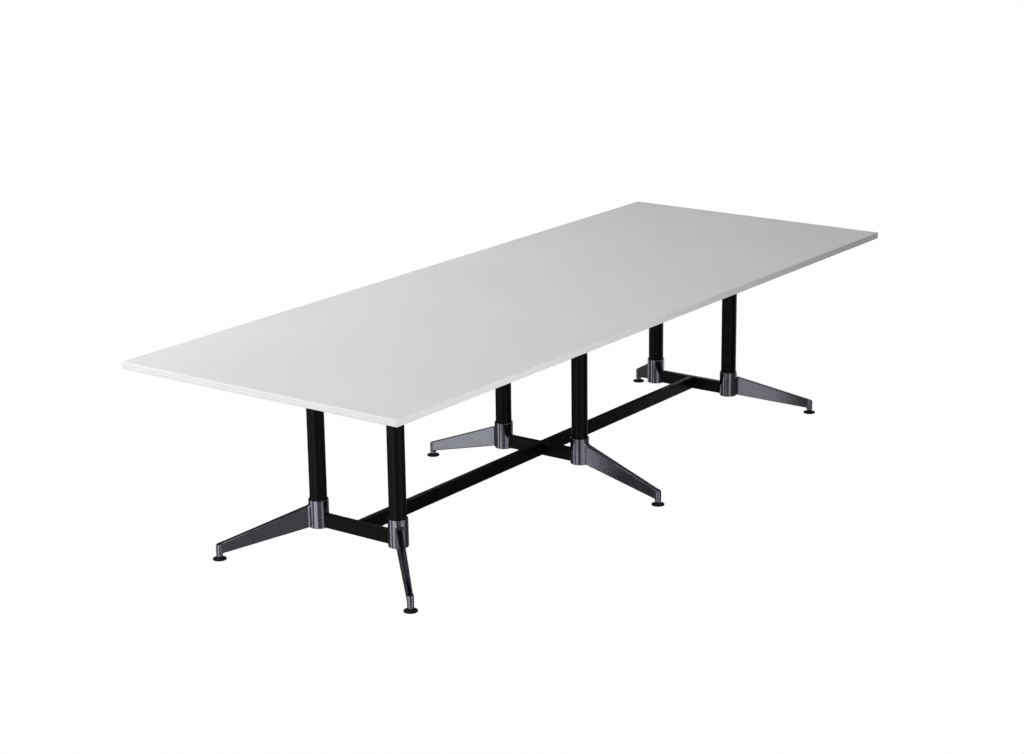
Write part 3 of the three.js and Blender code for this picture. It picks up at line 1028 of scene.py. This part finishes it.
class TABLE_OT_feet(bpy.types.Operator):
    """Makes the levelling feet: pads and screws"""

    bl_idname = "table.feet"
    bl_label = "Feet"

    def execute(self, context):
        settings = context.scene.table_feet
        for name in STATIONS:
            place = middle(f"foot_pad_{name}")
            ground = Vector((place.x, place.y, 0))
            pad, screw = self.pad(settings, name), self.screw(settings, name)
            piece(
                f"pad_{name}_moulding",
                move(pad, ground),
                "black_nylon",
                body=f"pad_{name}",
                replaces=[f"foot_pad_{name}"],
            )
            piece(
                f"levelling_screw_{name}",
                move(screw, ground),
                "zinc_plate",
                body=f"screw_{name}",
                replaces=[f"foot_screw_{name}"],
            )
        return {"FINISHED"}

    def pad(self, settings, name):
        """A round pad with a sloped upper side and a room for the screw's flange."""
        low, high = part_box(f"foot_pad_{name}")
        radius = (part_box("foot_pad_mid_left")[1].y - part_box("foot_pad_mid_left")[0].y) / 2
        profile = [
            (0, low.z),
            (radius, low.z),
            (radius, low.z + settings.rim),
            (settings.hub, high.z),
            (settings.neck_hole, high.z),
            (settings.neck_hole, low.z + settings.roof),
            (settings.room, low.z + settings.roof),
            (settings.room, low.z + settings.sole),
            (0, low.z + settings.sole),
        ]
        bm = spun(profile)
        round_off(bm, ring(bm, radius, low.z), 0.0006, 2)
        round_off(bm, ring(bm, radius, low.z + settings.rim), settings.rim_round, 5)
        round_off(bm, ring(bm, settings.hub, high.z), 0.0008, 3)
        return bm

    def screw(self, settings, name):
        """A flange and neck in the pad, spanner flats, and a thread up into the boss."""
        low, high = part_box(f"foot_screw_{name}")
        flange_high = low.z + settings.flange_thickness
        flats_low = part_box(f"foot_pad_{name}")[1].z + settings.play
        flats_high = flats_low + settings.flats
        waist = (flats_low + flats_high) / 2
        chamfer = settings.screw - settings.core
        bm = spun(
            [
                (0, low.z),
                (settings.flange, low.z),
                (settings.flange, flange_high),
                (settings.neck, flange_high),
                (settings.neck, waist),
                (settings.core, waist),
                (settings.core, high.z - chamfer),
                (settings.core - chamfer, high.z),
                (0, high.z),
            ],
            SMALL_STEPS * 2,
        )
        flats = drum(settings.spanner / 2 / math.cos(math.pi / 6), flats_low, flats_high, 6)
        rims = on_plane(flats, 2, flats_low) + on_plane(flats, 2, flats_high)
        round_off(flats, rims, 0.0006, 2)
        thread_low = flats_high + settings.play
        turns = math.floor((high.z - chamfer - thread_low) / settings.pitch) - 1
        return merge(bm, flats, self.thread(settings, thread_low, turns))

    def thread(self, settings, low, turns):
        """A ridge wound round the screw's core."""
        bm = bmesh.new()
        root = settings.core - 0.0002
        corners = [
            (root, 0, low),
            (settings.screw, 0, low + settings.pitch * 0.44),
            (settings.screw, 0, low + settings.pitch * 0.56),
            (root, 0, low + settings.pitch),
        ]
        face = bm.faces.new([bm.verts.new(corner) for corner in corners])
        steps = turns * SMALL_STEPS
        bmesh.ops.spin(
            bm,
            geom=[face],
            cent=(0, 0, 0),
            axis=UPRIGHT,
            dvec=(0, 0, settings.pitch / SMALL_STEPS),
            angle=math.tau * turns,
            steps=steps,
        )
        return settle(bm)


class TABLE_OT_stage(bpy.types.Operator):
    """Sets the floor, the soft light and the camera"""

    bl_idname = "table.stage"
    bl_label = "Stage"

    def execute(self, context):
        settings = context.scene.table_stage
        context.scene.view_settings.view_transform = "Standard"
        self.floor(settings)
        self.world(context.scene, settings)
        self.lamp("overhead", (0.3, 1.1, 3.2), (0.1, 0.3, 0.7), (3.2, 2.0), settings.overhead)
        self.lamp("key", (-4.3, 4.9, 3.9), (-0.2, 0, 0.6), (2.6, 2.6), settings.key)
        self.lamp("front", (-3.6, -0.5, 1.1), (-1.6, -0.1, 0.7), (2.9, 1.3), settings.front)
        self.lamp("side", (-1.1, -2.7, 0.85), (-1.1, -0.6, 0.7), (1.9, 1.1), settings.side)
        self.lamp("far", (3.6, 0.3, 0.42), (1.6, 0.1, 0.7), (2.9, 0.5), settings.far)
        self.face("front_face", (-3.5, 0.0), (-1.6, 0.0), (1.8, 1.7), settings.glow)
        self.face("side_face", (-1.01, -2.6), (-1.01, -0.6), (2.16, 1.65), settings.side_glow)
        self.face("corner_face", (-2.8, -1.75), (-1.25, 0.1), (2.2, 1.7), settings.corner_glow)
        self.face("left_face", (-3.5, 2.9), (-0.5, 0.6), (1.41, 1.7), settings.glow)
        self.face("far_face", (2.4, 0.0), (1.6, 0.0), (1.8, 0.75), settings.glow)
        self.face("back_face", (1.4, 1.8), (1.4, 0.6), (0.7, 0.75), settings.glow)
        self.camera(context.scene, settings)
        return {"FINISHED"}

    def seen(self, tree, camera, metal, other):
        """A number by kind of ray: what the camera or glass shows, what metal shows, and what lights the rest."""
        path = tree.nodes.new("ShaderNodeLightPath")
        total = other
        for ray, share in (("Is Camera Ray", camera), ("Is Transmission Ray", camera), ("Is Glossy Ray", metal)):
            step = add(tree, "ShaderNodeMapRange", Value=path.outputs[ray], To_Min=total, To_Max=share)
            total = step.outputs["Result"]
        return total

    def floor(self, settings):
        """A wide plane that shows white, as deep as the levelling feet reach when they are screwed out."""
        material = bpy.data.materials.new("pale_floor")
        material.use_nodes = True
        tree = material.node_tree
        tree.nodes.clear()
        matt = add(tree, "ShaderNodeBsdfDiffuse", Color=(*settings.floor, 1))
        polish = add(tree, "ShaderNodeBsdfGlossy", Color=(1, 1, 1, 1), Roughness=0.2)
        real = add(tree, "ShaderNodeMixShader", Fac=settings.floor_polish)
        tree.links.new(matt.outputs["BSDF"], real.inputs[1])
        tree.links.new(polish.outputs["BSDF"], real.inputs[2])
        white = add(tree, "ShaderNodeEmission", Strength=1.0)
        blend = tree.nodes.new("ShaderNodeMixShader")
        tree.links.new(self.seen(tree, settings.floor_lift, settings.floor_gloss, 0.0), blend.inputs["Fac"])
        tree.links.new(real.outputs["Shader"], blend.inputs[1])
        tree.links.new(white.outputs["Emission"], blend.inputs[2])
        add(tree, "ShaderNodeOutputMaterial", Surface=blend.outputs["Shader"])
        bm = bmesh.new()
        bmesh.ops.create_grid(bm, x_segments=1, y_segments=1, size=settings.floor_size / 2)
        travel = max(joint["range_m"][1] for joint in frame["joints"] if joint["type"] == "slide")
        move(bm, travel * DOWN)
        mesh = bpy.data.meshes.new("floor")
        bm.to_mesh(mesh)
        bm.free()
        mesh.materials.append(material)
        floor = bpy.data.objects.new("floor", mesh)
        bpy.context.scene.collection.objects.link(floor)

    def world(self, scene, settings):
        """Even light, white where the camera or glass looks at it and dim in metal."""
        scene.world = bpy.data.worlds.new("studio")
        scene.world.use_nodes = True
        tree = scene.world.node_tree
        strength = self.seen(tree, 1.0, settings.backdrop_gloss, settings.ambient)
        tree.links.new(strength, tree.nodes["Background"].inputs["Strength"])
        tree.nodes["Background"].inputs["Color"].default_value = (1, 1, 1, 1)

    def face(self, name, place, aim, size, glow):
        """The pale upright face of a lamp that stands on the floor, as metal and the floor's polish show it."""
        width, height = size
        power = glow * math.pi * width * height
        lamp = self.lamp(name, (*place, height / 2), (*aim, height / 2), size, power)
        lamp.visible_glossy = True
        lamp.visible_diffuse = False

    def lamp(self, name, place, aim, size, power):
        """A soft rectangular lamp that faces a point."""
        light = bpy.data.lights.new(name, "AREA")
        light.shape = "RECTANGLE"
        light.size, light.size_y = size
        light.energy = power
        lamp = bpy.data.objects.new(name, light)
        lamp.location = place
        lamp.rotation_euler = (Vector(aim) - Vector(place)).to_track_quat("-Z", "Y").to_euler()
        lamp.visible_camera = False
        lamp.visible_glossy = False
        bpy.context.scene.collection.objects.link(lamp)
        return lamp

    def camera(self, scene, settings):
        """A long lens from the near right, a little above the table."""
        data = bpy.data.cameras.new("camera")
        data.sensor_fit = "HORIZONTAL"
        data.sensor_width = 36
        data.lens = settings.lens
        data.clip_end = 2 * settings.floor_size
        flat = math.cos(settings.dip)
        forward = Vector(
            (flat * math.cos(settings.heading), flat * math.sin(settings.heading), -math.sin(settings.dip))
        )
        stance = forward.to_track_quat("-Z", "Y").to_matrix().to_4x4() @ Matrix.Rotation(settings.roll, 4, "Z")
        camera = bpy.data.objects.new("camera", data)
        camera.matrix_world = Matrix.Translation(settings.eye) @ stance
        scene.collection.objects.link(camera)
        scene.camera = camera


class TABLE_PT_pieces(bpy.types.Panel):
    """The table's pieces and their sizes"""

    bl_idname = "TABLE_PT_pieces"
    bl_label = "Conference table"
    bl_space_type = "VIEW_3D"
    bl_region_type = "UI"
    bl_category = "Table"

    def draw(self, context):
        for operator, settings in PARTS:
            box = self.layout.box()
            box.operator(operator)
            group_of_sizes = getattr(context.scene, settings)
            for name in group_of_sizes.bl_rna.properties.keys():
                if name not in {"rna_type", "name"}:
                    box.prop(group_of_sizes, name)


SETTINGS = {
    "table_top": TopSettings,
    "table_posts": PostSettings,
    "table_legs": LegSettings,
    "table_rails": RailSettings,
    "table_feet": FootSettings,
    "table_stage": StageSettings,
}
OPERATORS = (TABLE_OT_top, TABLE_OT_posts, TABLE_OT_legs, TABLE_OT_rails, TABLE_OT_feet, TABLE_OT_stage)
PARTS = tuple(zip((operator.bl_idname for operator in OPERATORS), SETTINGS))
CLASSES = (*SETTINGS.values(), *OPERATORS, TABLE_PT_pieces)


def register():
    for item in CLASSES:
        bpy.utils.register_class(item)
    for name, settings in SETTINGS.items():
        setattr(bpy.types.Scene, name, PointerProperty(type=settings))


def unregister():
    for name in SETTINGS:
        delattr(bpy.types.Scene, name)
    for item in reversed(CLASSES):
        bpy.utils.unregister_class(item)


def main():
    register()
    bpy.ops.table.top()
    bpy.ops.table.posts()
    bpy.ops.table.legs()
    bpy.ops.table.rails()
    bpy.ops.table.feet()
    bpy.ops.table.stage()


if __name__ == "__main__":
    main()
